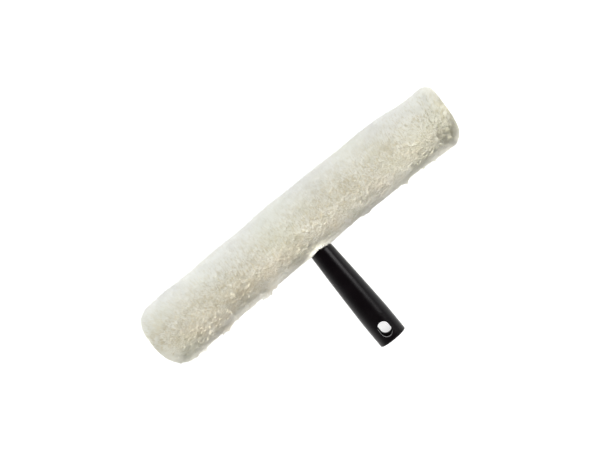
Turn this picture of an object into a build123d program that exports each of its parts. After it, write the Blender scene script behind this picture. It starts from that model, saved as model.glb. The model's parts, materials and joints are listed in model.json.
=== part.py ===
from build123d import *
import os
from math import asin, atan, cos, degrees, radians, sin, sqrt

# Washer applicator: a T-bar with a removable fleece sleeve, for wetting and scrubbing glass or film.
# Every piece is drawn in the T-bar's own frame: the bar lies along X through the origin, the handle
# runs along -Y and Z is across both. At the end everything is laid down as it rests on a table.

# ---- overall sizes, in millimetres ----
overall_length = 355.0
roll_radius = 32.5
handle_reach = 140.0  # bar axis to the tip of the handle

# ---- crossbar tube ----
tube_radius = 15.0
tube_wall = 1.8
drain_hole_radius = 4.0
drain_hole_pitch = 25.0
drain_holes_per_side = 5
drain_hole_first = 42.0  # from the middle of the bar

# ---- carriers that hold the sleeve off the tube ----
carrier_radius = 19.0
saddle_half_length = 24.0
saddle_split = 0.3
cap_flange = 3.0
cap_plug_length = 14.0
cap_edge_round = 1.2

# ---- neck and grip ----
collar_face = 20.0  # bar axis to the face that the grip butts against
spigot_radius = 9.2
spigot_end = 56.0
grip_head_radius = 11.6
grip_head_straight = 11.0  # length of the straight first stretch
grip_mid_radius = 13.15
grip_mid = 66.0
grip_tip_radius = 14.7
grip_straight = 28.0  # length of the straight last stretch
grip_rim_round = 1.2
grip_floor = 4.0  # bulkhead between the spigot's pocket and the pole socket
socket_radius = 11.1
socket_depth = 78.0
socket_lead_in = 0.8

# ---- hanging slot ----
slot_width = 11.5
slot_length = 16.2
slot_from_tip = 5.4

# ---- fasteners ----
screw_radius = 2.0
screw_offset = 5.2
screw_head_radius = 3.8
screw_head_height = 2.2
screw_head_sunk = 0.5
screw_key_width = 2.5
screw_key_depth = 1.4
screw_past_nut = 1.4
nut_across_flats = 7.0
nut_height = 3.2
nut_seat = 33.0  # bar axis to the near side of the nuts
pin_radius = 1.5
pin_place = 25.5  # bar axis to the cross pin
pin_sunk = 0.4

# ---- sleeve ----
backing_thickness = 1.6
end_panel_thickness = 10.0
end_panel_round = 8.0
opening_radius = 14.5
binding_thickness = 1.6
binding_width = 4.6
binding_gap_angle = 36.0  # half angle of the break in the binding at the slit

# ---- closure ----
flap_low_angle = -36.0  # from the handle's direction, towards +Z
flap_hinge_angle = 36.0
flap_opening = 90.0
flap_spare_angle = 4.0
flap_start = 13.6
tape_margin = 2.0  # ends of the tapes from the carriers
underlap_thickness = 1.0
underlap_seam_angle = 14.0
loop_thickness = 1.2
hook_thickness = 1.3
tape_low_angle = -35.0
tape_high_angle = -14.0
riser_angle = -36.0  # where the underlap steps in from the sleeve's backing towards the tube

# ---- clearances ----
fit_gap = 0.1  # hard pieces that slide together
cloth_gap = 0.3  # cloth beside anything on another body, and round the carriers
layer_gap = 0.1  # sewn layers of one body
screw_gap = 0.2
nut_gap = 0.1
pin_gap = 0.03

# ---- values that follow ----
inside_half = overall_length / 2 - end_panel_thickness
bar_half = inside_half - cloth_gap
tube_half = bar_half - cap_flange
tube_bore = tube_radius - tube_wall
backing_inner = carrier_radius + cloth_gap
backing_outer = backing_inner + backing_thickness
pile_inner = backing_outer + layer_gap
hook_outer = backing_inner - layer_gap
hook_inner = hook_outer - hook_thickness
loop_outer = hook_inner - cloth_gap
loop_inner = loop_outer - loop_thickness
underlap_outer = loop_inner - layer_gap
underlap_inner = underlap_outer - underlap_thickness
flap_end = inside_half - cloth_gap
tape_start = saddle_half_length + tape_margin
tape_end = tube_half - tape_margin
socket_floor = handle_reach - socket_depth
pocket_end = socket_floor - grip_floor
straight_start = handle_reach - grip_straight
swell_start = collar_face + grip_head_straight
slot_centre = handle_reach - slot_from_tip - slot_length / 2
bevel_angle = (flap_opening + flap_spare_angle) / 2
hinge_radius = backing_outer
far = 3 * roll_radius

# ---- how it rests: the roll on the table and the rim of the tip touching it ----
rim_along = handle_reach - grip_rim_round
rim_out = grip_tip_radius - grip_rim_round
dip = degrees(asin((roll_radius - grip_rim_round) / sqrt(rim_along**2 + rim_out**2)) - atan(rim_out / rim_along))
front_reach = rim_along * cos(radians(dip)) + rim_out * sin(radians(dip)) + grip_rim_round
resting = Pos(0, (front_reach - roll_radius) / 2, roll_radius) * Rot(dip, 0, 0)


def rod_x(radius, x0, x1):
    """A round bar along X."""
    return Pos((x0 + x1) / 2, 0, 0) * Rot(0, 90, 0) * Cylinder(radius, x1 - x0)


def rod_y(radius, y0, y1, x=0, z=0):
    """A round bar along Y."""
    return Pos(x, (y0 + y1) / 2, z) * Rot(90, 0, 0) * Cylinder(radius, abs(y1 - y0))


def rod_z(radius, z0, z1, x=0, y=0):
    """A round bar along Z."""
    return Pos(x, y, (z0 + z1) / 2) * Cylinder(radius, z1 - z0)


def tube_x(inner, outer, x0, x1):
    """A round tube along X."""
    return rod_x(outer, x0, x1) - rod_x(inner, x0 - 1, x1 + 1)


def polar(radius, angle):
    """A (y, z) point round the bar's axis; angle 0 is the handle's direction."""
    return (-radius * cos(radians(angle)), radius * sin(radians(angle)))


def step_from(point, heading, distance):
    """The (y, z) point a distance away along a heading, measured like polar's angle."""
    return (point[0] - distance * cos(radians(heading)), point[1] + distance * sin(radians(heading)))


def prism_x(points, x0, x1):
    """A prism along X on an outline of (y, z) points."""
    outline = Plane.YZ.offset(x0) * make_face(Polyline(*points, close=True))
    return extrude(outline, amount=x1 - x0, dir=(1, 0, 0))


def sector_x(low, high, x0, x1):
    """A wedge along X between two angles round the bar's axis."""
    return prism_x([(0, 0), polar(far, low), polar(2 * far, (low + high) / 2), polar(far, high)], x0, x1)


def gap_angle(gap, radius):
    """The angle that a gap takes up at a radius."""
    return degrees(gap / radius)


hinge_point = polar(hinge_radius, flap_hinge_angle)
low_gap = gap_angle(cloth_gap, backing_inner)
cloth_hole = rod_y(opening_radius, -far, 0)


def crossbar_tube():
    """Aluminium tube with rows of holes that hold water, and holes for the saddle screws."""
    tube = tube_x(tube_bore, tube_radius, -tube_half, tube_half)
    for side in (-1, 1):
        for number in range(drain_holes_per_side):
            x = side * (drain_hole_first + number * drain_hole_pitch)
            tube -= rod_z(drain_hole_radius, -far, far, x=x)
        tube -= rod_y(screw_radius + screw_gap, -far, far, x=side * screw_offset)
    return tube


def end_cap(side):
    """Plug with a round flange that keeps the sleeve off the tube's end; side is -1 or 1."""
    start, stop = sorted((side * tube_half, side * bar_half))
    flange = rod_x(carrier_radius, start, stop)
    rim = flange.edges().filter_by(GeomType.CIRCLE).group_by(Axis.X)
    flange = fillet(rim[-1] if side > 0 else rim[0], cap_edge_round)
    start, stop = sorted((side * (tube_half - cap_plug_length), side * (tube_half + cap_flange / 2)))
    plug = rod_x(tube_bore - fit_gap, start, stop)
    cup = sorted((side * (tube_half - cap_plug_length - 1), side * tube_half))
    return flange + plug - rod_x(tube_bore - fit_gap - tube_wall, cup[0], cup[1])


def screw_places():
    return [-screw_offset, screw_offset]


def countersink(radius_gap, face):
    """Cone for a sunk screw head whose top is at the given face, on each screw."""
    cones = Part()
    for x in screw_places():
        cone = Cone(screw_radius + radius_gap, screw_head_radius + radius_gap, screw_head_height)
        cones += Pos(x, face - screw_head_height / 2, 0) * Rot(-90, 0, 0) * cone
    return cones


def nut_blank(width, height, near_face):
    """Hexagonal prisms on the screws, with flats facing the sides."""
    nuts = Part()
    for x in screw_places():
        hexagon = Plane.XZ.offset(near_face) * RegularPolygon(width / 2, 6, major_radius=False, rotation=30)
        nuts += Pos(x, 0, 0) * extrude(hexagon, amount=height, dir=(0, -1, 0))
    return nuts


def tee_head():
    """Front half of the clamp with the collar and the spigot that carries the grip."""
    saddle = tube_x(tube_radius + fit_gap, carrier_radius, -saddle_half_length, saddle_half_length)
    saddle &= Pos(0, -far / 2 - saddle_split / 2, 0) * Box(2 * far, far, 2 * far)
    neck = rod_y(grip_head_radius, -collar_face, -tube_radius / 2) + rod_y(spigot_radius, -spigot_end, -collar_face)
    neck -= rod_x(tube_radius + fit_gap, -far, far)
    head = saddle + neck
    screw_tip = nut_seat + nut_height + screw_past_nut
    for x in screw_places():
        head -= rod_y(screw_radius + screw_gap, -screw_tip - 1, 0, x=x)
        slot_width_x = nut_across_flats + 2 * nut_gap
        slot_height = nut_height + 2 * nut_gap
        slot_depth = nut_across_flats / sqrt(3) + nut_gap
        slot_box = Box(slot_width_x, slot_height, far, align=(Align.CENTER, Align.CENTER, Align.MIN))
        head -= Pos(x, -nut_seat - nut_height / 2, -slot_depth) * slot_box
    return head - rod_z(pin_radius + pin_gap, -far, far, y=-pin_place)


def saddle_cap():
    """Rear half of the clamp, with sunk holes for the two screws."""
    cap = tube_x(tube_radius + fit_gap, carrier_radius, -saddle_half_length, saddle_half_length)
    cap &= Pos(0, far / 2 + saddle_split / 2, 0) * Box(2 * far, far, 2 * far)
    face = carrier_radius - screw_head_sunk
    for x in screw_places():
        cap -= rod_y(screw_radius + screw_gap, 0, far, x=x)
        cap -= rod_y(screw_head_radius + screw_gap, face, far, x=x)
    return cap - countersink(screw_gap, face)


def saddle_screws():
    """Two sunk-head screws through the clamp and the tube."""
    face = carrier_radius - screw_head_sunk
    screws = countersink(0, face)
    for x in screw_places():
        screws += rod_y(screw_radius, -nut_seat - nut_height - screw_past_nut, face - screw_head_height / 2, x=x)
        key = Plane.XZ.offset(-face) * RegularPolygon(screw_key_width / 2, 6, major_radius=False)
        screws -= Pos(x, 0, 0) * extrude(key, amount=screw_key_depth, dir=(0, -1, 0))
    return screws


def saddle_nuts():
    """Two captive nuts, dropped into slots in the spigot."""
    nuts = nut_blank(nut_across_flats, nut_height, nut_seat)
    for x in screw_places():
        nuts -= rod_y(screw_radius + fit_gap / 2, -far, 0, x=x)
    return nuts


def grip_body():
    """The grip turned about the handle's axis: pocket for the spigot, bulkhead and pole socket."""
    swell = ThreePointArc(
        (grip_head_radius, -swell_start), (grip_mid_radius, -grip_mid), (grip_tip_radius, -straight_start)
    )
    straight = Line((grip_tip_radius, -straight_start), (grip_tip_radius, -rim_along))
    rim = TangentArc((grip_tip_radius, -rim_along), (rim_out, -handle_reach), tangent=(0, -1))
    hollow = Polyline(
        (rim_out, -handle_reach),
        (socket_radius + socket_lead_in, -handle_reach),
        (socket_radius, -handle_reach + socket_lead_in),
        (socket_radius, -socket_floor),
        (0, -socket_floor),
        (0, -pocket_end),
        (spigot_radius + fit_gap, -pocket_end),
        (spigot_radius + fit_gap, -collar_face),
        (grip_head_radius, -collar_face),
        (grip_head_radius, -swell_start),
    )
    return revolve(make_face(swell + straight + rim + hollow), axis=Axis.Y)


def hang_slot():
    """The slot for hanging it up, as a solid to cut with."""
    outline = Rot(0, 0, 90) * SlotOverall(slot_length, slot_width)
    return extrude(Pos(0, -slot_centre, -far) * outline, amount=2 * far, dir=(0, 0, 1))


def handle_grip():
    """Tapered hollow grip with the hanging slot and the hole for its cross pin."""
    return grip_body() - hang_slot() - rod_z(pin_radius + pin_gap, -far, far, y=-pin_place)


def grip_pin():
    """Cross pin through the grip and the spigot."""
    half = grip_head_radius - pin_sunk
    return rod_z(pin_radius, -half, half, y=-pin_place)


def sleeve_backing():
    """Woven inner tube of the sleeve, open at the handle and along the slit."""
    backing = tube_x(backing_inner, backing_outer, -inside_half, inside_half)
    slit = sector_x(flap_low_angle - low_gap, flap_hinge_angle + low_gap, flap_start - cloth_gap, overall_length)
    return backing - cloth_hole - slit


def pile_slit():
    """What the slit takes out of the roll's pile: bevelled at the hinge, straight at the free edge."""
    points = [
        (0, 0),
        polar(far, flap_low_angle - low_gap),
        polar(2 * far, flap_low_angle / 2),
        step_from(hinge_point, flap_hinge_angle + bevel_angle, far),
        hinge_point,
    ]
    return prism_x(points, flap_start - cloth_gap, overall_length)


def sleeve_pile():
    """Fleece of the roll, apart from its ends and the closure flap."""
    pile = tube_x(pile_inner, roll_radius, -inside_half, inside_half)
    return pile - cloth_hole - pile_slit()


def end_panel(side):
    """Padded fleece disc that closes one end; side is -1 or 1."""
    start, stop = sorted((side * inside_half, side * overall_length / 2))
    panel = rod_x(roll_radius, start, stop)
    rims = panel.edges().filter_by(GeomType.CIRCLE).group_by(Axis.X)
    return fillet(rims[-1] if side > 0 else rims[0], end_panel_round)


def opening_binding():
    """Binding tape round the handle's opening, broken where the slit starts."""
    outer = opening_radius - cloth_gap
    ring = rod_y(outer, -carrier_radius - binding_width, -carrier_radius - layer_gap)
    ring -= rod_y(outer - binding_thickness, -far, 0)
    reach = far * sin(radians(binding_gap_angle))
    along = far * cos(radians(binding_gap_angle))
    break_outline = make_face(Polyline((0, 0), (along, reach), (along, -reach), close=True))
    break_cut = extrude(Plane.XZ.offset(-far) * break_outline, amount=2 * far, dir=(0, -1, 0))
    return ring - break_cut


def underlap_strip():
    """Cloth strip sewn inside the slit's lower edge; it steps in towards the tube."""
    seam_low = flap_low_angle - underlap_seam_angle
    seam_top = backing_inner - layer_gap
    riser_low = riser_angle - gap_angle(underlap_thickness, underlap_outer)
    seam = tube_x(seam_top - underlap_thickness, seam_top, tape_start, tape_end)
    seam &= sector_x(seam_low, riser_angle, tape_start, tape_end)
    riser = tube_x(underlap_inner, seam_top, tape_start, tape_end)
    riser &= sector_x(riser_low, riser_angle, tape_start, tape_end)
    landing = tube_x(underlap_inner, underlap_outer, tape_start, tape_end)
    landing &= sector_x(riser_low, tape_high_angle, tape_start, tape_end)
    return seam + riser + landing


def loop_tape():
    """Loop half of the closure, on the underlap."""
    tape = tube_x(loop_inner, loop_outer, tape_start, tape_end)
    return tape & sector_x(tape_low_angle, tape_high_angle, tape_start, tape_end)


def hook_tape():
    """Hook half of the closure, inside the flap's free edge."""
    tape = tube_x(hook_inner, hook_outer, tape_start, tape_end)
    return tape & sector_x(tape_low_angle, tape_high_angle, tape_start, tape_end)


def flap_backing():
    """Woven inner layer of the closure flap."""
    backing = tube_x(backing_inner, backing_outer, flap_start, flap_end)
    keep = sector_x(flap_low_angle, flap_hinge_angle - low_gap, flap_start, flap_end)
    return (backing & keep) - cloth_hole


def flap_pile():
    """Fleece of the closure flap, bevelled at the hinge so that it can swing up."""
    points = [
        (0, 0),
        polar(far, flap_low_angle),
        polar(far, flap_low_angle / 2),
        step_from(hinge_point, flap_hinge_angle - bevel_angle, far),
        hinge_point,
    ]
    pile = tube_x(pile_inner, roll_radius, flap_start, flap_end)
    return (pile & prism_x(points, flap_start, flap_end)) - cloth_hole


def fold_pile():
    """Fleece in the fold over the hinge, which is squeezed flat as the flap opens."""
    apex = polar(hinge_radius + 2 * cloth_gap, flap_hinge_angle)
    points = [
        apex,
        step_from(apex, flap_hinge_angle - bevel_angle, far),
        polar(far, flap_hinge_angle),
        step_from(apex, flap_hinge_angle + bevel_angle, far),
    ]
    pile = tube_x(pile_inner, roll_radius, flap_start, flap_end)
    return (pile & prism_x(points, flap_start, flap_end)) - cloth_hole


pieces = {
    "crossbar_tube": crossbar_tube(),
    "end_cap_left": end_cap(-1),
    "end_cap_right": end_cap(1),
    "tee_head": tee_head(),
    "saddle_cap": saddle_cap(),
    "saddle_screws": saddle_screws(),
    "saddle_nuts": saddle_nuts(),
    "grip_pin": grip_pin(),
    "handle_grip": handle_grip(),
    "sleeve_backing": sleeve_backing(),
    "sleeve_pile": sleeve_pile(),
    "end_panel_left": end_panel(-1),
    "end_panel_right": end_panel(1),
    "opening_binding": opening_binding(),
    "underlap_strip": underlap_strip(),
    "loop_tape": loop_tape(),
    "fold_pile": fold_pile(),
    "flap_backing": flap_backing(),
    "flap_pile": flap_pile(),
    "hook_tape": hook_tape(),
}

os.makedirs("parts", exist_ok=True)
for name, piece in pieces.items():
    export_step(resting * piece, f"parts/{name}.step")

print(f"dip {dip:.3f} degrees, bar axis at y {(front_reach - roll_radius) / 2:.3f}, z {roll_radius:.3f}")
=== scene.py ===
import json
import math

import bmesh
import bpy
import numpy as np
from mathutils import Matrix, Vector, kdtree, noise


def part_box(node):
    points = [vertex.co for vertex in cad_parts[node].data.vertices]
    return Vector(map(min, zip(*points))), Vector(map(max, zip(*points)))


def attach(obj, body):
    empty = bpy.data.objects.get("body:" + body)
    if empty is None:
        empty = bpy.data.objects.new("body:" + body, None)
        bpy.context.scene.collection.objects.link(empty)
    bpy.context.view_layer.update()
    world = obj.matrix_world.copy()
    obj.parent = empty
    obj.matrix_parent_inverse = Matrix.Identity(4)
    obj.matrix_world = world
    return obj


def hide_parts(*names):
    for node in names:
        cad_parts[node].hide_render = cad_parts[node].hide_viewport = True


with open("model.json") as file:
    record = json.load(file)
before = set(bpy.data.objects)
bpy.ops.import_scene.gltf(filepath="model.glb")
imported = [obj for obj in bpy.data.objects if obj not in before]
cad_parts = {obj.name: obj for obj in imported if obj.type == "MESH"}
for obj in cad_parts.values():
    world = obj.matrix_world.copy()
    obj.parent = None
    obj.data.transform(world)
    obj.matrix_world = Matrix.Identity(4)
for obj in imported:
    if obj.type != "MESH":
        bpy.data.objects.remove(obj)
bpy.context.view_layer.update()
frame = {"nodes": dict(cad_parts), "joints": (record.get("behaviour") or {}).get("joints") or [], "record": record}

MM = 0.001
SEED = 20
noise.seed_set(SEED)  # noise_vector starts from the clock without this

# ---- the T-bar's own frame: bar along X, handle along -Y, Z across both ----
bar_low, bar_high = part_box("crossbar_tube")
pile_low, pile_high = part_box("sleeve_pile")
panel_low, panel_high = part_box("end_panel_left")[0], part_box("end_panel_right")[1]
mounts = {m["name"]: m for m in frame["record"]["mounts"]}
hinge = next(j for j in frame["joints"] if j["name"] == "closure_flap_hinge")
BAR = (bar_low + bar_high) / 2
HANDLE = Vector(mounts["pole_socket"]["axis"]).normalized()
ACROSS = Vector((1, 0, 0)).cross(-HANDLE)
HALF = (panel_high.x - panel_low.x) / 2
ROLL_R = (pile_high.z - pile_low.z) / 2
HINGE_AT = Vector(hinge["pos_m"]) - BAR
HINGE_R = math.hypot(HINGE_AT.dot(HANDLE), HINGE_AT.dot(ACROSS))
HINGE_ANGLE = math.atan2(HINGE_AT.dot(ACROSS), HINGE_AT.dot(HANDLE))
FLAP_LOW = -HINGE_ANGLE
FLAP_X0, FLAP_X1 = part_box("flap_backing")[0].x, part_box("flap_backing")[1].x

# ---- the roll's shape, at the fibres' tips ----
LEFT_PROUD, RIGHT_PROUD = 3.4 * MM, 1.4 * MM  # each end's tips stand about this far out of the CAD box
LEFT_FULLER, RIGHT_THINNER = 0.052, 0.01  # shares by which the roll thickens or thins towards its ends
BOW = 2.5 * MM  # the roll's middle stands this far away from the handle
BOW_REACH = 0.86 * HALF  # where the bow is back on the bar's axis
BACK_TURN = 2.0 * MM  # the right end turns this far back towards the handle
RIGHT_SLANT = 1.8 * MM  # the right end's face leans: this far out on the far side, in on the near one
LEFT_DRAWN, RIGHT_DRAWN = 4.5 * MM, 5.0 * MM  # each end is also drawn in this far on the handle side
SLANT_REACH = 26 * MM  # length of roll at each end that follows its face
LONG_WAVE, SHORT_WAVE = 0.6 * MM, 0.35 * MM  # heights of the gentle waves on the roll
WISPS = (  # locks pulled out of the pile: mm along the bar, degrees round it, mm across, mm proud
    (-67, -6, 6, 4.4),
    (-85, 6, 9, 1.0),
    (-118, -6, 6, 3.6),
    (-150, 2, 12, 1.4),
    (58, 2, 5, 2.2),
    (104, 4, 4, 2.2),
)

# ---- fibres ----
FIBRES = 136000
FIBRE_RADIUS = 0.4 * MM
FIBRE_RINGS = 3  # points along a fibre; the last is its tip
ROOT_R = 26.5 * MM  # radius where the fibres start
ROOT_END = 5.0 * MM  # length of the fibres on the ends
LEFT_ROUND, RIGHT_ROUND = 13.0 * MM, 6.5 * MM  # rounding of each end where the fibres start
PROFILE_SAMPLES = 4000  # places along the profile where it is tabulated
SOFTNESS = 0.9  # how far a fibre's shading follows the pile as a whole
TUFT_PITCH = 3.4 * MM  # distance from one lock to the next
SWIRL = 2.3  # mm that a lock's tip wanders, for a swirl of 1
WIDE_SWIRL, WIDE_SCALE = 0.9, 24  # strength and noise scale of the swirls that many locks share
FINE_SWIRL, FINE_SCALE = 0.55, 80  # and of those that a few share
TINT_SCALE = 30  # noise scale of the tint from lock to lock
COMBED_ALONG = -0.6  # mm that every lock is combed along the bar
CALM = 0.55  # how much less uneven the pile is beside the handle
STRAY_REACH = math.radians(15)  # this near to the handle's side, some locks stand taller
STRAYS = 0.08  # share of the locks there that do
LOCK_HEIGHT = (0.96, 1.03)  # least and most height of a lock, as a share of the pile's,
STRAY_HEIGHT = (0.1, 0.34)  # what is added to it for a taller one,
FIBRE_HEIGHT = (0.97, 1.03)  # and a fibre's height as a share of its lock's
GIRTH = (0.75, 1.2)  # a fibre's thickness as a share of FIBRE_RADIUS
GATHER = (0.05, 0.4)  # how far a fibre leans over towards the middle of its lock, as a share
CURL = (0.1, 0.4)  # mm that a fibre's tip curls aside
WIND = (2.2, 4.6)  # radians that it winds on the way
STREAK_ALONG, STREAK_ROUND = 850, 300  # noise scales of the darker fibres
STREAK_DEPTH = 1.9  # how much darker they are, in tone
SIDE_SPLIT = (0.31, 0.53, 0.79)  # any direction; it settles how the tubes' three sides are turned
GRIP_CLEAR = 11.9 * MM  # fibres are pushed out to this distance from the handle's axis
OPENING_R = 12.2 * MM  # and none starts nearer to it than this
HUG = 3.5 * MM  # fibres round the handle lean in towards it by up to this
HUG_AT, HUG_WIDTH = 12 * MM, 6 * MM  # how far from its axis they lean most, and over what width
PRESSED = 2.5 * MM  # below this height the floor presses the fibres
FLOOR_GAP = 0.35 * MM  # but not lower than this
FLOOR_LEAST = 0.1 * MM  # lowest point of a fibre's side

# ---- felted core under the fibres ----
CORE_VOXEL = 1.5 * MM
CORE_DEPTH = 2.5 * MM  # the core lies this far under the tips
CORE_DEEPER = 0.5 * MM  # and this much further near the ends,
CORE_DEEPER_FROM, CORE_DEEPER_TO = HALF - 45 * MM, HALF - 25 * MM  # between these distances from the middle
CORE_END_DEPTH = 1.3 * CORE_DEPTH  # its depth under the tips on the ends
CORE_END = 10 * MM  # length at each end that stretches to reach the fleece's own end
CORE_LUMP = 0.5 * MM  # the core rises this much in the middle of a lock
CORE_ROUGH = 0.3 * MM  # height of its fine unevenness
CORE_GRAIN = 450  # noise scale of that
CORE_LEAST = 0.3 * MM  # least thickness over the backing
CORE_FLOOR = 1.5 * MM  # its lowest point above the floor


def to_row(x, out, up):
    """Points in the row frame from bar coordinates: along X, out towards the handle, up across."""
    along = np.stack([x, np.zeros_like(x), np.zeros_like(x)], -1)
    return np.array(BAR) + along + out[..., None] * np.array(HANDLE) + up[..., None] * np.array(ACROSS)


def to_bar(points):
    """Bar coordinates (x, out, up) of points in the row frame."""
    away = points - np.array(BAR)
    return away[..., 0], away @ np.array(HANDLE), away @ np.array(ACROSS)


def smooth(low, high, value):
    """0 at low and 1 at high with a soft start and stop; low may be the greater of the two."""
    t = np.clip((value - low) / (high - low), 0, 1)
    return t * t * (3 - 2 * t)


def roll_outer(x, angle):
    """Radius of the fleece's tips; angle 0 is the handle's direction. The roll bows away from it."""
    bow = BOW * np.clip(1 - (x / BOW_REACH) ** 2, -0.25, 1)
    bow = bow - BACK_TURN * smooth(0.66 * HALF, 0.9 * HALF, x)
    share = 0.998 + LEFT_FULLER * smooth(-0.55 * HALF, -0.8 * HALF, x)
    girth = ROLL_R * (share - RIGHT_THINNER * smooth(0.2 * HALF, 0.8 * HALF, x))
    lump = LONG_WAVE * np.sin(x * 41 + 1.3) * np.cos(angle * 2 + x * 23)
    lump = lump + SHORT_WAVE * np.sin(x * 97 + angle * 3)
    for along, round_bar, across, proud in WISPS:
        far = ((x - along * MM) ** 2 + ((angle - math.radians(round_bar)) * ROLL_R) ** 2) / (across * MM) ** 2
        lump = lump + proud * MM * np.exp(-far)
    return girth + lump - bow * np.cos(angle)


def slant(x, out):
    """Both ends are drawn in on the handle side; the right one also stands out a little on the far side."""
    share = out / ROLL_R
    beside = np.maximum(share, 0) ** 2
    start = HALF - SLANT_REACH
    right = (RIGHT_SLANT * share + RIGHT_DRAWN * beside) * smooth(start, HALF, x)
    left = LEFT_DRAWN * beside * smooth(start, HALF, -x)
    return x - right + left


def unevenness(angle):
    """How uneven the pile is: full on the top and back, less on the side by the handle."""
    from_above = smooth(math.radians(86), math.radians(64), angle)
    from_below = smooth(math.radians(-20), math.radians(5), angle)
    return 1 - CALM * from_above * from_below


class Profile:
    """The surface that the fibres start from, unrolled: length from the left pole to the right one."""

    def __init__(self):
        self.low = HALF + LEFT_PROUD - ROOT_END
        self.high = HALF + RIGHT_PROUD - ROOT_END
        self.left, self.right = LEFT_ROUND, RIGHT_ROUND
        flat_left, flat_right = ROOT_R - self.left, ROOT_R - self.right
        arc_left, arc_right = self.left * math.pi / 2, self.right * math.pi / 2
        body = self.low + self.high - self.left - self.right
        self.stops = np.cumsum([0, flat_left, arc_left, body, arc_right, flat_right])
        self.length = self.stops[-1]

    def at(self, along):
        """(x, radius, normal along x, normal outwards) at lengths along the profile."""
        s = self.stops
        along = np.clip(along, 0, self.length)
        x, r = np.empty_like(along), np.empty_like(along)
        nx, nr = np.empty_like(along), np.empty_like(along)
        part = np.clip(np.searchsorted(s, along, side="right") - 1, 0, 4)
        k = part == 0
        x[k], r[k], nx[k], nr[k] = -self.low, along[k], -1, 0
        k = part == 1
        a = (along[k] - s[1]) / self.left
        x[k] = -self.low + self.left * (1 - np.cos(a))
        r[k] = ROOT_R - self.left * (1 - np.sin(a))
        nx[k], nr[k] = -np.cos(a), np.sin(a)
        k = part == 2
        x[k], r[k], nx[k], nr[k] = -self.low + self.left + along[k] - s[2], ROOT_R, 0, 1
        k = part == 3
        a = (along[k] - s[3]) / self.right
        x[k] = self.high - self.right * (1 - np.sin(a))
        r[k] = ROOT_R - self.right * (1 - np.cos(a))
        nx[k], nr[k] = np.sin(a), np.cos(a)
        k = part == 4
        x[k], r[k], nx[k], nr[k] = self.high, s[5] - along[k], 1, 0
        return x, r, nx, nr


profile = Profile()


def fleece_point(along, angle, depth):
    """Bar coordinates of a point; depth runs from 0 at the roots to 1 at the tips."""
    x, r, nx, nr = profile.at(along)
    side = roll_outer(x, angle) - ROOT_R
    height = depth * (np.abs(nr) * side + (1 - np.abs(nr)) * ROOT_END)
    radius = np.maximum(r + height * nr, 0)
    out = radius * np.cos(angle)
    return slant(x + height * nx, out), out, radius * np.sin(angle)


def end_fall(x):
    """The tips' radius at each x as a share of roll_outer: 1 on the body, less round the ends."""
    fine = np.linspace(0, profile.length, PROFILE_SAMPLES)
    tip_x, _, tip_r = fleece_point(fine, np.full_like(fine, math.pi / 2), np.ones_like(fine))
    return np.interp(x, tip_x, tip_r / roll_outer(tip_x, math.pi / 2))


def keep_clear(x, out, up):
    """Moves fibres off the handle and above the floor."""
    reach = np.hypot(x, up)
    near = (out > 0) & (reach < GRIP_CLEAR)
    push = np.where(near, GRIP_CLEAR / np.maximum(reach, 0.1 * MM), 1)
    x, up = x * push, up * push
    points = to_row(x, out, up)
    z = points[..., 2]
    room = PRESSED - FLOOR_GAP
    squeezed = FLOOR_GAP + room * np.exp((z - PRESSED) / room)
    points[..., 2] = np.where(z < PRESSED, squeezed, z)
    return points


def spread(count, rng):
    """Random places on the fibre surface, even over the tips: lengths along the profile and angles."""
    fine = np.linspace(0, profile.length, PROFILE_SAMPLES)
    x, _, up = fleece_point(fine, np.full_like(fine, math.pi / 2), np.ones_like(fine))
    strip = np.hypot(np.gradient(x), np.gradient(up)) * np.maximum(up, 0.2 * MM)
    total = np.cumsum(strip)
    along = np.interp(rng.random(count) * total[-1], total, fine)
    return along, rng.random(count) * 2 * math.pi - math.pi


def tufts(rng):
    """Centres of the locks that fibres gather into, with each one's lean, height and tint."""
    area = 2 * math.pi * ROLL_R * (2 * HALF + ROLL_R)
    count = int(area / TUFT_PITCH**2)
    along, angle = spread(count, rng)
    at = np.stack(fleece_point(along, angle, np.ones(count)), -1)
    lean = np.empty((count, 2))
    tone = np.empty(count)
    for i, p in enumerate(at):
        v = Vector(p)
        wide = noise.noise_vector(v * WIDE_SCALE)
        fine = noise.noise_vector(v * FINE_SCALE + Vector((7, 3, 1)))
        swirl = WIDE_SWIRL * wide + FINE_SWIRL * fine
        lean[i] = swirl.x, swirl.y
        tone[i] = noise.noise(v * TINT_SCALE + Vector((3, 9, 4)))
    lean += rng.normal(0, 0.12, (count, 2))
    lean *= unevenness(angle)[:, None]
    combed_round = 1.5 + 0.9 * smooth(0, 1.1, angle)
    combed = np.stack([np.full(count, COMBED_ALONG), combed_round], -1)
    stray = (rng.random(count) < STRAYS) & (np.abs(angle) < STRAY_REACH)
    tree = kdtree.KDTree(count)
    for i, p in enumerate(at):
        tree.insert(p, i)
    tree.balance()
    return {
        "along": along,
        "angle": angle,
        "lean": (lean * SWIRL + combed) * MM,
        "rise": rng.uniform(*LOCK_HEIGHT, count) + np.where(stray, rng.uniform(*STRAY_HEIGHT, count), 0),
        "twist": rng.uniform(0, 2 * math.pi, count),
        "tone": tone * 0.9 + rng.normal(0, 0.22, count),
        "tree": tree,
    }


WEAR_AND_SHADE_PLACES = (  # worn, browner places that also carry painted shade: mm along the bar, degrees round it, mm across
    (-22, 62, 17),
    (-52, 50, 20),
    (-78, 58, 15),
    (-112, 52, 18),
    (-140, 66, 14),
    (28, 48, 12),
    (88, 46, 16),
    (132, 58, 15),
    (-57, 10, 9),
    (-114, 8, 10),
)


def wear_and_shade_at(x, angle):
    """How strongly the fleece is browned at each place, 0 to 1: its wear together with painted shade."""
    total = np.zeros_like(x)
    for along, round_bar, across in WEAR_AND_SHADE_PLACES:
        side = (angle - math.radians(round_bar)) * ROLL_R
        total += np.exp(-((x - along * MM) ** 2 + 1.6 * side**2) / (across * MM) ** 2)
    patchy = np.array([noise.noise(Vector((90 * p, 3 * q, 5.0))) for p, q in zip(x, angle)])
    return np.clip(total * (0.75 + 0.9 * patchy), 0, 1)


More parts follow.
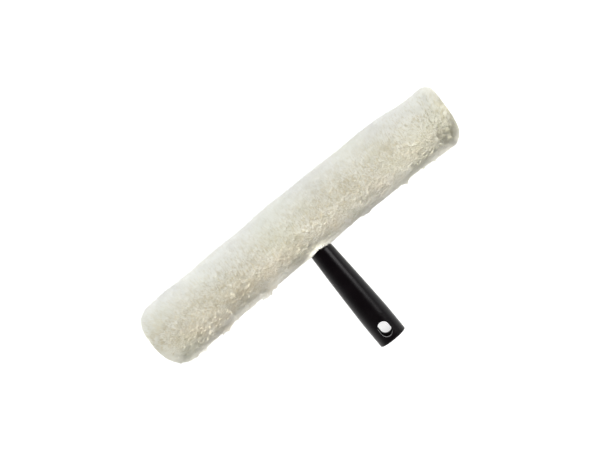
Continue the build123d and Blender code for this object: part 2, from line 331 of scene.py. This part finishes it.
def fibres(rng, locks):
    """Centre lines of all fibres in the row frame, with a tone for each and its place on the roll."""
    along, angle = spread(FIBRES, rng)
    root = np.stack(fleece_point(along, angle, np.ones(FIBRES)), -1)
    own = np.array([locks["tree"].find(p)[1] for p in root])
    s = np.linspace(0, 1, FIBRE_RINGS)[None, :]
    turn = (locks["angle"][own] - angle + math.pi) % (2 * math.pi) - math.pi
    gather = rng.uniform(*GATHER, FIBRES) * unevenness(angle)
    lean = locks["lean"][own] + rng.normal(0, 0.45 * MM, (FIBRES, 2)) * unevenness(angle)[:, None]
    x0, r0, nx, nr = profile.at(along)
    round_handle = np.hypot(x0, ROOT_R * angle)
    near = np.exp(-(((round_handle - HUG_AT) / HUG_WIDTH) ** 2))
    hug = HUG * near / np.maximum(round_handle, 1 * MM)
    lean -= np.stack([x0, ROOT_R * angle], -1) * hug[:, None]
    swing = s**1.4
    radius = np.maximum(r0, 5 * MM) + 6 * MM  # where a shift round the bar is measured
    shift_along = gather * (locks["along"][own] - along) + lean[:, 0]
    shift_angle = gather * turn + lean[:, 1] / radius
    curl = rng.uniform(*CURL, FIBRES) * MM * unevenness(angle)
    phase = locks["twist"][own] + rng.normal(0, 0.7, FIBRES)
    wind = phase[:, None] + s * rng.uniform(*WIND, FIBRES)[:, None]
    a = along[:, None] + shift_along[:, None] * swing + curl[:, None] * s * np.cos(wind)
    t = angle[:, None] + shift_angle[:, None] * swing + curl[:, None] * s * np.sin(wind) / radius[:, None]
    rise = locks["rise"][own] * rng.uniform(*FIBRE_HEIGHT, FIBRES)
    depth = rise[:, None] * (1 - (1 - s) ** 1.5)
    x, out, up = fleece_point(a, t, depth)
    places = zip(STREAK_ALONG * x0, STREAK_ROUND * ROOT_R * angle)
    streak = np.array([noise.noise(Vector((p, q, 2.0))) for p, q in places])
    tone = locks["tone"][own] + rng.normal(0, 0.15, FIBRES)
    tone = tone - STREAK_DEPTH * unevenness(angle) * smooth(0.05, 0.4, streak)
    outward = to_row(nx, nr * np.cos(angle), nr * np.sin(angle)) - np.array(BAR)
    return {
        "lines": keep_clear(x, out, up),
        "tone": tone,
        # browner wear and painted shade at each fibre's place
        "darkening": wear_and_shade_at(x0, angle),
        "along": along,
        "angle": angle,
        "girth": rng.uniform(*GIRTH, FIBRES),
        "outward": outward,
    }


def unit(v):
    return v / np.maximum(np.linalg.norm(v, axis=-1, keepdims=True), 1e-12)


def set_values(mesh, name, values):
    """Stores one number for each point of the mesh, for its material to read."""
    layer = mesh.attributes.new(name, "FLOAT", "POINT")
    layer.data.foreach_set("value", values.astype(np.float32))


def fibre_mesh(name, pile, chosen):
    """Closed three-sided tubes that end in a point, with a map and the attributes the colour reads."""
    keys = ("lines", "tone", "darkening", "girth", "outward")
    lines, tone, darkening, girth, outward = (pile[key][chosen] for key in keys)
    count, rings = lines.shape[:2]
    tangent = unit(np.gradient(lines, axis=1))
    aside = unit(np.cross(tangent, np.array(SIDE_SPLIT)))
    other = np.cross(tangent, aside)
    thickness = FIBRE_RADIUS * girth[:, None, None, None]
    spin = np.arange(3) * 2 * math.pi / 3
    ring = aside[:, :-1, None] * np.cos(spin)[:, None] + other[:, :-1, None] * np.sin(spin)[:, None]
    tube = lines[:, :-1, None] + ring * thickness
    tube[..., 2] = np.maximum(tube[..., 2], FLOOR_LEAST)
    body = tube.reshape(count, -1, 3)
    verts = np.concatenate([body, lines[:, -1:]], 1)
    per = verts.shape[1]
    faces = []
    for level in range(rings - 2):
        for k in range(3):
            j = (k + 1) % 3
            a, b = level * 3 + k, level * 3 + j
            faces += [(a, b, b + 3), (a, b + 3, a + 3)]
    last = (rings - 2) * 3
    faces += [(last + k, last + (k + 1) % 3, per - 1) for k in range(3)]
    faces.append((2, 1, 0))
    faces = np.array(faces)
    all_faces = (faces[None] + np.arange(count)[:, None, None] * per).reshape(-1, 3)
    mesh = bpy.data.meshes.new(name)
    mesh.vertices.add(count * per)
    mesh.vertices.foreach_set("co", verts.astype(np.float32).ravel())
    mesh.loops.add(len(all_faces) * 3)
    mesh.loops.foreach_set("vertex_index", all_faces.astype(np.int32).ravel())
    mesh.polygons.add(len(all_faces))
    mesh.polygons.foreach_set("loop_start", np.arange(0, len(all_faces) * 3, 3, dtype=np.int32))
    mesh.polygons.foreach_set("use_smooth", np.ones(len(all_faces), bool))
    mesh.update(calc_edges=True)
    level_of = np.concatenate([np.repeat(np.arange(rings - 1), 3), [rings - 1]]) / (rings - 1)
    set_values(mesh, "along", np.tile(level_of, count))
    set_values(mesh, "tone", np.repeat(tone, per))
    # browner wear and painted shade, for the colour to read
    set_values(mesh, "darkening", np.repeat(darkening, per))
    lay_map(mesh, faces, count, rings)
    own = np.concatenate([ring.reshape(count, -1, 3), tangent[:, -1:]], 1)
    lit = unit(SOFTNESS * outward[:, None] + (1 - SOFTNESS) * own)
    mesh.normals_split_custom_set_from_vertices(lit.reshape(-1, 3))
    ob = bpy.data.objects.new(name, mesh)
    bpy.context.scene.collection.objects.link(ob)
    return ob


# places in one fibre's cell of the map, as shares of the cell
MAP_TIP = (0.5, 0.95)
MAP_SIDES = (0.08, 0.84)  # where the sides start, and their spread
MAP_LENGTH = (0.1, 0.7)  # where the length starts, and its run
MAP_ROOT = [0.02, 0.1, 0.02]  # heights of the three corners that close the root


def lay_map(mesh, faces, count, rings):
    """One small cell of the map for each fibre: its length runs up the cell, its sides across."""
    per_row = math.ceil(math.sqrt(count))
    cell = 1 / per_row
    corner_u, corner_v = [], []
    tip = (rings - 1) * 3
    for f in faces:
        ks = [v % 3 if v < tip else 0 for v in f]
        for v, k in zip(f, ks):
            if v == tip:
                corner_u.append(MAP_TIP[0])
                corner_v.append(MAP_TIP[1])
            else:
                wrapped = 3 if (k == 0 and 2 in ks) else k
                corner_u.append(MAP_SIDES[0] + MAP_SIDES[1] * wrapped / 3)
                corner_v.append(MAP_LENGTH[0] + MAP_LENGTH[1] * (v // 3) / (rings - 2))
    corner_v[-3:] = MAP_ROOT
    u, v = np.array(corner_u), np.array(corner_v)
    index = np.arange(count)
    place = np.stack([(index % per_row) * cell, (index // per_row) * cell], -1)
    uv = place[:, None] + np.stack([u, v], -1)[None] * cell
    layer = mesh.uv_layers.new(name="OFBake")
    layer.data.foreach_set("uv", uv.astype(np.float32).ravel())


def nodes_of(name):
    mat = bpy.data.materials.new(name)
    mat.use_nodes = True
    tree = mat.node_tree
    return mat, tree, tree.nodes["Principled BSDF"]


def ramp(tree, fac, stops):
    node = tree.nodes.new("ShaderNodeValToRGB")
    while len(node.color_ramp.elements) < len(stops):
        node.color_ramp.elements.new(0.5)
    for e, (at, colour) in zip(node.color_ramp.elements, stops):
        e.position, e.color = at, (*colour, 1)
    tree.links.new(fac, node.inputs["Fac"])
    return node.outputs["Color"]


def object_noise(tree, scale, detail=3.0, roughness=0.55, offset=(0, 0, 0)):
    coord = tree.nodes.new("ShaderNodeTexCoord")
    move = tree.nodes.new("ShaderNodeMapping")
    move.inputs["Location"].default_value = offset
    tree.links.new(coord.outputs["Object"], move.inputs["Vector"])
    tex = tree.nodes.new("ShaderNodeTexNoise")
    tex.inputs["Scale"].default_value = scale
    tex.inputs["Detail"].default_value = detail
    tex.inputs["Roughness"].default_value = roughness
    tree.links.new(move.outputs["Vector"], tex.inputs["Vector"])
    return tex.outputs["Fac"]


def mix_colour(tree, fac, a, b, blend="MIX"):
    node = tree.nodes.new("ShaderNodeMix")
    node.data_type, node.blend_type = "RGBA", blend
    for socket, value in ((node.inputs["Factor"], fac), (node.inputs["A"], a), (node.inputs["B"], b)):
        if isinstance(value, (int, float)):
            socket.default_value = value
        elif isinstance(value, tuple):
            socket.default_value = (*value, 1)
        else:
            tree.links.new(value, socket)
    return node.outputs["Result"]


def attribute(tree, name):
    node = tree.nodes.new("ShaderNodeAttribute")
    node.attribute_name = name
    return node.outputs["Fac"]


def map_range(tree, value, low, high, to_low=0.0, to_high=1.0):
    node = tree.nodes.new("ShaderNodeMapRange")
    node.inputs["From Min"].default_value = low
    node.inputs["From Max"].default_value = high
    node.inputs["To Min"].default_value = to_low
    node.inputs["To Max"].default_value = to_high
    tree.links.new(value, node.inputs["Value"])
    return node.outputs["Result"]


# painted light on the fleece's back and front edges: where it starts to whiten, where it is whitest (along Y from
# the bar's axis), and how strongly
PAINTED_LIGHT_BACK = (4 * MM, 30 * MM, 0.7)
PAINTED_LIGHT_FRONT = (-12 * MM, -30 * MM, 0.5)


def patches(tree, colour, *painted_light_edges):
    """Lays painted light as whiter back and front edges, the worn browner places with their painted shade and a
    faint yellow-green cast over a fleece colour.
    """
    place = tree.nodes.new("ShaderNodeSeparateXYZ")
    tree.links.new(tree.nodes.new("ShaderNodeTexCoord").outputs["Object"], place.inputs["Vector"])
    for start, full, most in painted_light_edges:
        # painted light: whiter towards the edge
        white = map_range(tree, place.outputs["Y"], BAR.y + start, BAR.y + full, 0.0, most)
        colour = mix_colour(tree, white, colour, (0.955, 0.955, 0.925))
    # worn browner places mixed with painted shade
    browned_wear_and_shade = map_range(tree, attribute(tree, "darkening"), 0.0, 1.0, 0.0, 0.32)
    colour = mix_colour(tree, browned_wear_and_shade, colour, (0.8, 0.69, 0.5))
    green = map_range(tree, object_noise(tree, 14, 2, offset=(3, 1, 2)), 0.46, 0.66, 0.0, 0.3)
    return mix_colour(tree, green, colour, (0.87, 0.88, 0.7))


def fleece_material():
    """Cream fibres: deepest at the root, partly their own colour and partly painted warm shade, a little dimmer at
    the tip as painted shade, and lighter or browner from lock to lock and in patches.
    """
    mat, tree, shader = nodes_of("fleece_fibre")
    # painted shade along each fibre: the deeper, yellower root stands partly for the warm shade deep in the pile,
    # and the dimmer tip damps the light that the tips catch
    length = ramp(
        tree,
        attribute(tree, "along"),
        [
            (0.0, (0.96, 0.93, 0.83)),
            (0.4, (0.98, 0.96, 0.875)),
            (0.75, (0.975, 0.958, 0.875)),
            (1.0, (0.95, 0.935, 0.865)),
        ],
    )
    lock = ramp(
        tree,
        map_range(tree, attribute(tree, "tone"), -1.2, 1.2),
        [(0.0, (0.8, 0.75, 0.62)), (0.5, (0.985, 0.975, 0.945)), (1.0, (1.0, 1.0, 0.98))],
    )
    colour = mix_colour(tree, 1.0, length, lock, "MULTIPLY")
    colour = patches(tree, colour, PAINTED_LIGHT_BACK, PAINTED_LIGHT_FRONT)
    tree.links.new(colour, shader.inputs["Base Color"])
    shader.inputs["Roughness"].default_value = 0.85
    shader.inputs["Specular IOR Level"].default_value = 0.1
    shader.inputs["Sheen Weight"].default_value = 0.15
    shader.inputs["Sheen Roughness"].default_value = 0.5
    return mat


def bump_from(tree, shader, height, strength, distance):
    bump = tree.nodes.new("ShaderNodeBump")
    bump.inputs["Strength"].default_value = strength
    bump.inputs["Distance"].default_value = distance
    tree.links.new(height, bump.inputs["Height"])
    tree.links.new(bump.outputs["Normal"], shader.inputs["Normal"])


def core_material():
    """Felted base of the fleece, seen between the locks and on the open flap's cut edges; its colour is kept
    darker than the fibres' as painted shade.
    """
    mat, tree, shader = nodes_of("fleece_core")
    fine = object_noise(tree, 420, 4, 0.65)
    # painted shade: darker than the fibres, standing for the shade in the gaps between the locks, and darker still
    # in the low places of its fine relief
    colour = ramp(tree, fine, [(0.3, (0.71, 0.67, 0.55)), (0.7, (0.81, 0.77, 0.65))])
    colour = patches(tree, colour, PAINTED_LIGHT_BACK)
    tree.links.new(colour, shader.inputs["Base Color"])
    shader.inputs["Roughness"].default_value = 0.95
    shader.inputs["Specular IOR Level"].default_value = 0.1
    bump_from(tree, shader, fine, 0.6, 0.8 * MM)
    return mat


def grip_material():
    """Satin black moulded plastic with a faint grain and slight wear."""
    mat, tree, shader = nodes_of("grip_plastic")
    wear = object_noise(tree, 60, 4)
    colour = ramp(tree, wear, [(0.3, (0.0016, 0.0009, 0.0013)), (0.75, (0.0028, 0.0017, 0.0024))])
    tree.links.new(colour, shader.inputs["Base Color"])
    tree.links.new(map_range(tree, wear, 0.3, 0.7, 0.22, 0.27), shader.inputs["Roughness"])
    shader.inputs["IOR"].default_value = 1.45
    shader.inputs["Specular IOR Level"].default_value = 0.2
    bump_from(tree, shader, object_noise(tree, 1600, 3), 0.12, 0.15 * MM)
    return mat


def plastic_material():
    """Matte black plastic of the hidden mouldings."""
    mat, tree, shader = nodes_of("cap_plastic")
    grain = object_noise(tree, 900, 3)
    shade = object_noise(tree, 70, 3)
    colour = ramp(tree, shade, [(0.3, (0.022, 0.021, 0.022)), (0.7, (0.035, 0.034, 0.036))])
    tree.links.new(colour, shader.inputs["Base Color"])
    shader.inputs["Roughness"].default_value = 0.6
    bump_from(tree, shader, grain, 0.2, 0.2 * MM)
    return mat


STREAK, GRAIN = 14, 900  # noise scale along a metal's streaks and across them


def metal_material(name, colour, along, rough):
    """Drawn or turned metal: streaks along one axis in colour, gloss and relief."""
    mat, tree, shader = nodes_of(name)
    coord = tree.nodes.new("ShaderNodeTexCoord")
    stretch = tree.nodes.new("ShaderNodeMapping")
    stretch.inputs["Scale"].default_value = tuple(STREAK if k == along else GRAIN for k in range(3))
    tree.links.new(coord.outputs["Object"], stretch.inputs["Vector"])
    tex = tree.nodes.new("ShaderNodeTexNoise")
    tex.inputs["Scale"].default_value = 1.0
    tex.inputs["Detail"].default_value = 3.0
    tree.links.new(stretch.outputs["Vector"], tex.inputs["Vector"])
    dark = tuple(0.82 * c for c in colour)
    tree.links.new(ramp(tree, tex.outputs["Fac"], [(0.3, dark), (0.7, colour)]), shader.inputs["Base Color"])
    gloss = map_range(tree, tex.outputs["Fac"], 0.3, 0.7, rough - 0.06, rough + 0.08)
    tree.links.new(gloss, shader.inputs["Roughness"])
    shader.inputs["Metallic"].default_value = 1.0
    bump_from(tree, shader, tex.outputs["Fac"], 0.15, 0.05 * MM)
    return mat


def round_coordinates(tree):
    """(along the bar, distance round it at the backing) as two sockets, from object coordinates."""
    coord = tree.nodes.new("ShaderNodeTexCoord")
    shift = tree.nodes.new("ShaderNodeVectorMath")
    shift.operation = "SUBTRACT"
    shift.inputs[1].default_value = BAR
    tree.links.new(coord.outputs["Object"], shift.inputs[0])
    split = tree.nodes.new("ShaderNodeSeparateXYZ")
    tree.links.new(shift.outputs["Vector"], split.inputs["Vector"])
    turn = tree.nodes.new("ShaderNodeMath")
    turn.operation = "ARCTAN2"
    tree.links.new(split.outputs["Z"], turn.inputs[0])
    tree.links.new(split.outputs["Y"], turn.inputs[1])
    return split.outputs["X"], math_node(tree, "MULTIPLY", turn.outputs["Value"], HINGE_R)


def math_node(tree, operation, a, b=None):
    node = tree.nodes.new("ShaderNodeMath")
    node.operation = operation
    for socket, value in zip(node.inputs, (a, b)):
        if value is None:
            continue
        if isinstance(value, (int, float)):
            socket.default_value = value
        else:
            tree.links.new(value, socket)
    return node.outputs["Value"]


def weave(tree, pitch):
    """Height of a plain weave: warp and weft threads that pass over each other in turn."""
    across, around = round_coordinates(tree)
    k = math.pi / pitch
    a = math_node(tree, "SINE", math_node(tree, "MULTIPLY", across, k))
    b = math_node(tree, "SINE", math_node(tree, "MULTIPLY", around, k))
    over = math_node(tree, "MULTIPLY", a, b)
    return map_range(tree, over, -1.0, 1.0)


def cloth_material(name, dark, light, pitch, strength):
    """Woven cloth with thread relief, painted shade between the threads and a little soiling."""
    mat, tree, shader = nodes_of(name)
    height = weave(tree, pitch)
    # painted shade: the colour darkens where the weave is low, between the threads
    colour = ramp(tree, height, [(0.1, dark), (0.8, light)])
    darkening = map_range(tree, object_noise(tree, 30, 4), 0.5, 0.75, 0.0, 0.35)
    colour = mix_colour(tree, darkening, colour, tuple(0.75 * c for c in dark))
    tree.links.new(colour, shader.inputs["Base Color"])
    shader.inputs["Roughness"].default_value = 0.9
    shader.inputs["Sheen Weight"].default_value = 0.2
    bump_from(tree, shader, height, strength, 0.4 * MM)
    return mat


def loop_material():
    """Brushed loop fabric: a tangle of fine loops, with painted shade in its hollows."""
    mat, tree, shader = nodes_of("loop_fabric")
    tangle = object_noise(tree, 1100, 5, 0.7)
    # painted shade: the loops darken where the tangle is low
    colour = ramp(tree, tangle, [(0.35, (0.55, 0.55, 0.53)), (0.65, (0.86, 0.86, 0.84))])
    tree.links.new(colour, shader.inputs["Base Color"])
    shader.inputs["Roughness"].default_value = 0.9
    shader.inputs["Sheen Weight"].default_value = 0.4
    bump_from(tree, shader, tangle, 0.9, 0.7 * MM)
    return mat


def paint(node, mat):
    """Gives a CAD node's mesh one material."""
    mesh = frame["nodes"][node].data
    mesh.materials.clear()
    mesh.materials.append(mat)


def remeshed(nodes, name, voxel):
    """One closed skin round copies of CAD solids."""
    bm = bmesh.new()
    for node in nodes:
        bm.from_mesh(frame["nodes"][node].data)
    rough = bpy.data.meshes.new(name)
    bm.to_mesh(rough)
    bm.free()
    ob = bpy.data.objects.new(name, rough)
    bpy.context.scene.collection.objects.link(ob)
    remesh = ob.modifiers.new("remesh", "REMESH")
    remesh.mode, remesh.voxel_size = "VOXEL", voxel
    skin = bpy.data.meshes.new_from_object(ob.evaluated_get(bpy.context.evaluated_depsgraph_get()))
    ob.modifiers.clear()
    ob.data = skin
    bpy.data.meshes.remove(rough)
    skin.name = name
    return ob


def felt_core(nodes, name, locks, mat):
    """Base of a fleece piece: its CAD solids in one skin, drawn in under the tips and lumped by lock."""
    ob = remeshed(nodes, name, CORE_VOXEL)
    mesh = ob.data
    points = np.empty(len(mesh.vertices) * 3, np.float32)
    mesh.vertices.foreach_get("co", points)
    x, out, up = to_bar(points.reshape(-1, 3).astype(float))
    radius, angle = np.hypot(out, up), np.arctan2(up, out)
    tips = roll_outer(x, angle)
    surface = np.stack([x, tips * np.cos(angle), tips * np.sin(angle)], -1)
    apart = np.array([locks["tree"].find(p)[2] for p in surface]) / TUFT_PITCH
    fine = np.array([noise.fractal(Vector(p) * CORE_GRAIN, 0.8, 2.0, 3) for p in surface])
    lump = CORE_LUMP * np.clip(1 - (apart / 0.7) ** 2, -0.4, 1) + CORE_ROUGH * fine
    end = HALF - CORE_END
    past = np.maximum(np.abs(x) - end, 0)
    proud = np.where(x < 0, LEFT_PROUD, RIGHT_PROUD)
    stretch = 1 + (proud - CORE_END_DEPTH + 0.5 * lump) / CORE_END
    x = np.sign(x) * (np.minimum(np.abs(x), end) + past * stretch)
    deeper = CORE_DEEPER * smooth(CORE_DEEPER_FROM, CORE_DEEPER_TO, np.abs(x))
    skin = end_fall(x) * roll_outer(x, angle) - CORE_DEPTH - deeper + lump
    skin = np.maximum(skin, HINGE_R + CORE_LEAST)
    share = np.clip((radius - HINGE_R) / (ROLL_R - HINGE_R), 0, 1)
    radius = np.where(radius > HINGE_R, HINGE_R + share * (skin - HINGE_R), radius)
    x = slant(x, radius * np.cos(angle))
    moved = to_row(x, radius * np.cos(angle), radius * np.sin(angle))
    moved[:, 2] = np.maximum(moved[:, 2], CORE_FLOOR)
    mesh.vertices.foreach_set("co", moved.astype(np.float32).ravel())
    mesh.polygons.foreach_set("use_smooth", np.ones(len(mesh.polygons), bool))
    # browner wear and painted shade on the core
    set_values(mesh, "darkening", wear_and_shade_at(x, angle))
    mesh.update()
    mesh.materials.clear()
    mesh.materials.append(mat)
    return ob


FLEECE_PARTS = (  # the body's groups of fibres: name, and degrees round the bar from and to
    ("fleece_front", -36, 36),
    ("fleece_upper_front", 36, 80),
    ("fleece_top", 80, 125),
    ("fleece_upper_back", 125, 180),
    ("fleece_lower_back", -180, -125),
    ("fleece_under", -125, -80),
    ("fleece_lower_front", -80, -36),
)


def build_fleece():
    """Cores and fibres of the roll, its ends and the closure flap."""
    felt, fleece = core_material(), fleece_material()
    rng = np.random.default_rng(SEED)
    locks = tufts(rng)
    for name, body, nodes in (
        ("core_roll", "root", ("sleeve_pile", "fold_pile", "end_panel_left", "end_panel_right")),
        ("core_flap", "closure_flap", ("flap_pile",)),
    ):
        piece = felt_core(nodes, name, locks, felt)
        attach(piece, body)
        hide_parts(*nodes)
    pile = fibres(rng, locks)
    along, angle = pile["along"], pile["angle"]
    x = profile.at(along)[0]
    degrees = np.degrees(angle)
    on_side = (along > profile.stops[2]) & (along < profile.stops[3])
    on_flap = on_side & (x > FLAP_X0) & (x < FLAP_X1) & (angle > FLAP_LOW) & (angle < HINGE_ANGLE)
    opening = (np.abs(angle) < math.pi / 2) & (np.hypot(x, ROOT_R * np.sin(angle)) < OPENING_R)
    groups = {
        "fleece_end_left": (~on_side & (x < 0), "root"),
        "fleece_end_right": (~on_side & (x > 0), "root"),
        "fleece_flap": (on_flap, "closure_flap"),
    }
    rest = on_side & ~on_flap
    for name, start, stop in FLEECE_PARTS:
        groups[name] = (rest & (degrees >= start) & (degrees < stop), "root")
    for name, (chosen, body) in groups.items():
        piece = fibre_mesh(name, pile, chosen & ~opening)
        piece.data.materials.append(fleece)
        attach(piece, body)


def build_finishes():
    """Materials of the CAD nodes that stay."""
    cloth = cloth_material("backing_cloth", (0.5, 0.48, 0.4), (0.8, 0.78, 0.7), 0.9 * MM, 0.8)
    binding = cloth_material("binding_tape", (0.45, 0.43, 0.36), (0.72, 0.7, 0.62), 0.6 * MM, 0.7)
    hooks = cloth_material("hook_nylon", (0.45, 0.45, 0.44), (0.88, 0.88, 0.87), 1.1 * MM, 1.0)
    plastic = plastic_material()
    steel = metal_material("fastener_steel", (0.58, 0.58, 0.59), 1, 0.3)
    paint("crossbar_tube", metal_material("bar_metal", (0.74, 0.75, 0.76), 0, 0.34))
    paint("handle_grip", grip_material())
    for node in ("end_cap_left", "end_cap_right", "tee_head", "saddle_cap"):
        paint(node, plastic)
    for node in ("saddle_screws", "saddle_nuts", "grip_pin"):
        paint(node, steel)
    for node in ("sleeve_backing", "underlap_strip", "flap_backing"):
        paint(node, cloth)
    paint("opening_binding", binding)
    paint("loop_tape", loop_material())
    paint("hook_tape", hooks)


FLOOR_REACH = 4.0  # metres from the middle to each side
FLOOR_GLOW = 0.72  # light that the floor gives off, so that it stays pale


def build_floor():
    mesh = bpy.data.meshes.new("floor")
    corners = [(x * FLOOR_REACH, y * FLOOR_REACH, 0) for x, y in ((-1, -1), (1, -1), (1, 1), (-1, 1))]
    mesh.from_pydata(corners, [], [(0, 1, 2, 3)])
    ob = bpy.data.objects.new("floor", mesh)
    bpy.context.scene.collection.objects.link(ob)
    mat, tree, shader = nodes_of("floor")
    shader.inputs["Base Color"].default_value = (0.5, 0.5, 0.5, 1)
    shader.inputs["Roughness"].default_value = 0.9
    shader.inputs["Specular IOR Level"].default_value = 0.1
    shader.inputs["Emission Color"].default_value = (1, 1, 1, 1)
    shader.inputs["Emission Strength"].default_value = FLOOR_GLOW
    mesh.materials.append(mat)


def area_light(name, place, target, size, watts, colour):
    data = bpy.data.lights.new(name, "AREA")
    data.shape, data.energy, data.color = "ELLIPSE", watts, colour
    data.size, data.size_y = size
    ob = bpy.data.objects.new(name, data)
    ob.location = place
    ob.rotation_mode = "QUATERNION"
    ob.rotation_quaternion = (Vector(target) - Vector(place)).to_track_quat("-Z", "Y")
    bpy.context.scene.collection.objects.link(ob)


def soft_box(name, azimuth, elevation, distance, size, irradiance, colour):
    """An oval soft light on the roll from a direction; irradiance sets how bright it makes a white card."""
    azimuth, elevation = math.radians(azimuth), math.radians(elevation)
    flat = math.cos(elevation)
    away = Vector((flat * math.cos(azimuth), flat * math.sin(azimuth), math.sin(elevation)))
    target = Vector((0, 0, ROLL_R))
    area_light(name, target + distance * away, target, size, irradiance * (math.pi * distance) ** 2, colour)


SKY = [  # brightness of the surroundings, from the horizon up
    (0.0, (1.0, 1.0, 1.0)),
    (0.06, (0.95, 0.95, 0.95)),
    (0.25, (0.6, 0.6, 0.6)),
    (0.75, (0.09, 0.09, 0.09)),
]
SOFT_BOXES = (  # name, azimuth and elevation in degrees, distance and size in metres, strength, colour
    ("key", 5, 38, 1.6, (0.7, 1.0), 0.52, (1.0, 1.0, 1.0)),
    ("top", 118, 36, 1.6, (2.0, 2.0), 0.8, (0.95, 0.985, 1.0)),
    ("fill", -96, 27, 1.8, (4.4, 2.2), 2.0, (1.0, 0.985, 0.95)),
)


def build_light():
    scene = bpy.context.scene
    world = bpy.data.worlds.new("studio")
    scene.world = world
    world.use_nodes = True
    tree = world.node_tree
    coord = tree.nodes.new("ShaderNodeTexCoord")
    split = tree.nodes.new("ShaderNodeSeparateXYZ")
    tree.links.new(coord.outputs["Generated"], split.inputs["Vector"])
    sky = ramp(tree, split.outputs["Z"], SKY)
    tree.links.new(sky, tree.nodes["Background"].inputs["Color"])
    for soft_light in SOFT_BOXES:
        soft_box(*soft_light)
    scene.view_settings.view_transform = "Standard"
    scene.view_settings.look = "None"


CAMERA_DISTANCE = 2.2
CAMERA_TILT_X = math.radians(4.0)
CAMERA_TILT_Y = math.radians(-2.2)
CAMERA_ROLL = math.radians(39.15)
CAMERA_AIM = 1.0 * MM  # it looks at the roll this far behind the bar's axis
SENSOR = 36  # mm
FOCAL_IN_WIDTHS = 3.84  # focal length over the picture's width


def build_camera():
    """Looks down on the roll, turned so that the handle points to the lower right."""
    target = Vector((0, BAR.y + CAMERA_AIM, ROLL_R))
    away = Vector((math.sin(CAMERA_TILT_X), math.sin(CAMERA_TILT_Y), 0))
    away.z = math.sqrt(1 - away.x**2 - away.y**2)
    up = Vector((0, 1, 0))
    up = (up - up.dot(away) * away).normalized()
    right = up.cross(away)
    c, s = math.cos(CAMERA_ROLL), math.sin(CAMERA_ROLL)
    axes = Matrix((c * right - s * up, s * right + c * up, away)).transposed()
    data = bpy.data.cameras.new("camera")
    data.sensor_width = SENSOR
    data.lens = SENSOR * FOCAL_IN_WIDTHS
    ob = bpy.data.objects.new("camera", data)
    ob.matrix_world = Matrix.Translation(target + CAMERA_DISTANCE * away) @ axes.to_4x4()
    bpy.context.scene.collection.objects.link(ob)
    bpy.context.scene.camera = ob


build_camera()
build_light()
build_floor()
build_finishes()
build_fleece()
